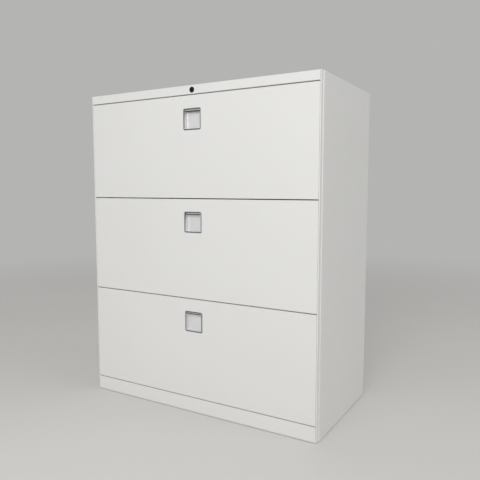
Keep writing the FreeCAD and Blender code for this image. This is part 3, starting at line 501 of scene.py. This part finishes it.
# lock barrel: a turned head with a bore and a rounded flange
barrelLook = {
    "boreGap": 0.05,                                        # round the plug
    "boreEdge": ((0.0, 0.3), (0.35, 0.05), (1.35, 0.0)),    # out from the bore and back from the nose
    "flangeEdge": ((0.6, 0.3), (0.0, 0.85), (0.0, 1.2)),    # in from the rim and back from the nose
    "neck": 1.0,                                            # step from the flange down to the body
    "steps": 64,
}
low, high = cornersOf("lock_barrel")
rim, nose, tail = high[0], low[1], high[1]
lockCentre = (0.0, 0.0, middleOf(low, high)[2])
bore = cornersOf("lock_plug")[1][0] + barrelLook["boreGap"]
outline = [(bore, tail)] + [(bore + out, nose + back) for out, back in barrelLook["boreEdge"]]
outline += [(rim - inward, nose + back) for inward, back in barrelLook["flangeEdge"]]
neck = rim - barrelLook["neck"]
outline += [(neck, outline[-1][1]), (neck, tail), (bore, tail)]
barrel = bmesh.new()
spinProfile(barrel, outline, lockCentre, (0, 1, 0), barrelLook["steps"])
finishPiece(barrel, "lock_barrel")

# lock plug: a keyway in its face and a thinner tail
plugLook = {
    "edge": ((0.8, 0.0), (0.15, 0.15), (0.0, 0.5)),         # in from the rim and back from the face
    "tailRadius": 3.0,
    "tailLength": 10.0,
    "keyway": (0.8, 3.5),                                   # half width and half height
    "keywayDepth": 6.0,
    "steps": 64,
}
low, high = cornersOf("lock_plug")
rim, face, tail = high[0], low[1], high[1]
shoulder = tail - plugLook["tailLength"]
outline = [(rim - inward, face + back) for inward, back in plugLook["edge"]]
outline += [(rim, shoulder), (plugLook["tailRadius"], shoulder), (plugLook["tailRadius"], tail), (0.0, tail)]
plug = bmesh.new()
spinProfile(plug, outline, lockCentre, (0, 1, 0), plugLook["steps"])
across, up = plugLook["keyway"]
sinkPit(plug, (lockCentre[0], face, lockCentre[2]), outline[0][0],
        ((-across, -up), (across, -up), (across, up), (-across, up)), plugLook["keywayDepth"])
finishPiece(plug, "lock_plug")

# lock bar: a long strip with a blocking tab for each drawer and a pin at the top
barLook = {"edge": 0.3, "pinEdge": 0.3, "pinSteps": 24}
strip, *tabs, pin = solidsOf("lock_bar")
bar = bmesh.new()
for low, high in (strip, *tabs):
    addEasedBox(bar, low, high, barLook["edge"])
low, high = pin
rim, near, far, edge = (high[0] - low[0]) / 2, low[1], high[1], barLook["pinEdge"]
outline = ((0.0, near), (rim - edge, near), (rim, near + edge), (rim, far), (0.0, far))
middle = middleOf(low, high)
spinProfile(bar, outline, (middle[0], 0.0, middle[2]), (0, 1, 0), barLook["pinSteps"])
finishPiece(bar, "lock_bar")
print("lock made")

# back screws: pan heads with a cross recess
screwLook = {
    "headHeight": 1.2,
    "headEdge": ((0.0, 0.0), (0.0, 0.35), (0.4, 0.85)),     # in from the rim and up from the seat
    "crown": 2.4,                                           # radius of the flat on the head
    "shank": 2.0,
    "point": (0.3, 0.4),                                    # taper of the tip, inwards and along
    "cross": (0.45, 1.9),                                   # half width of a slot and its reach
    "crossDepth": 0.75,
    "steps": 24,
}
wide, far = screwLook["cross"]
quarter = ((-wide, -far), (wide, -far), (wide, -wide))
crossOutline = [(x * c - z * s, x * s + z * c) for c, s in ((1, 0), (0, 1), (-1, 0), (0, -1)) for x, z in quarter]
screws = bmesh.new()
for low, high in solidsOf("back_screws"):
    rim, tip, top, shank = (high[0] - low[0]) / 2, low[1], high[1], screwLook["shank"]
    seat = top - screwLook["headHeight"]
    outline = [(0.0, tip), (shank - screwLook["point"][0], tip), (shank, tip + screwLook["point"][1]), (shank, seat)]
    outline += [(rim - inward, seat + along) for inward, along in screwLook["headEdge"]] + [(screwLook["crown"], top)]
    middle = middleOf(low, high)
    spinProfile(screws, outline, (middle[0], 0.0, middle[2]), (0, 1, 0), screwLook["steps"])
    sinkPit(screws, (middle[0], top, middle[2]), screwLook["crown"], crossOutline, -screwLook["crossDepth"])
finishPiece(screws, "back_screws")

# levelling feet: a moulded glide on a threaded stem
footLook = {
    "glide": ((1.4, 0.0), (0.4, 0.5), (0.0, 1.2), (0.3, 2.1), (1.6, 2.7)),      # in from the rim and up
    "hub": ((8.0, 3.0), (5.0, 3.0)),                                            # radius and height
    "threadFrom": 5.0,
    "threadPitch": 1.25,
    "root": 3.5,
    "crest": 4.0,
    "bareEnd": 2.0,
    "tip": (2.8, 0.6),                                                          # radius and length of the taper
    "steps": 32,
}
for spot in ("front", "rear"):
    node = f"{spot}_levelling_feet"
    feet = bmesh.new()
    for low, high in solidsOf(node):
        rim, top = (high[0] - low[0]) / 2, high[2]
        tipRadius, tipLength = footLook["tip"]
        outline = [(0.0, 0.0)] + [(rim - inward, up) for inward, up in footLook["glide"]] + list(footLook["hub"])
        along = footLook["threadFrom"]
        while along < top - footLook["bareEnd"]:
            outline += [(footLook["root"], along), (footLook["crest"], along + footLook["threadPitch"] / 2)]
            along += footLook["threadPitch"]
        outline += [(footLook["root"], top - tipLength), (tipRadius, top), (0.0, top)]
        middle = middleOf(low, high)
        spinProfile(feet, outline, (middle[0], middle[1], 0.0), (0, 0, 1), footLook["steps"])
    finishPiece(feet, node)
print("screws and feet made")
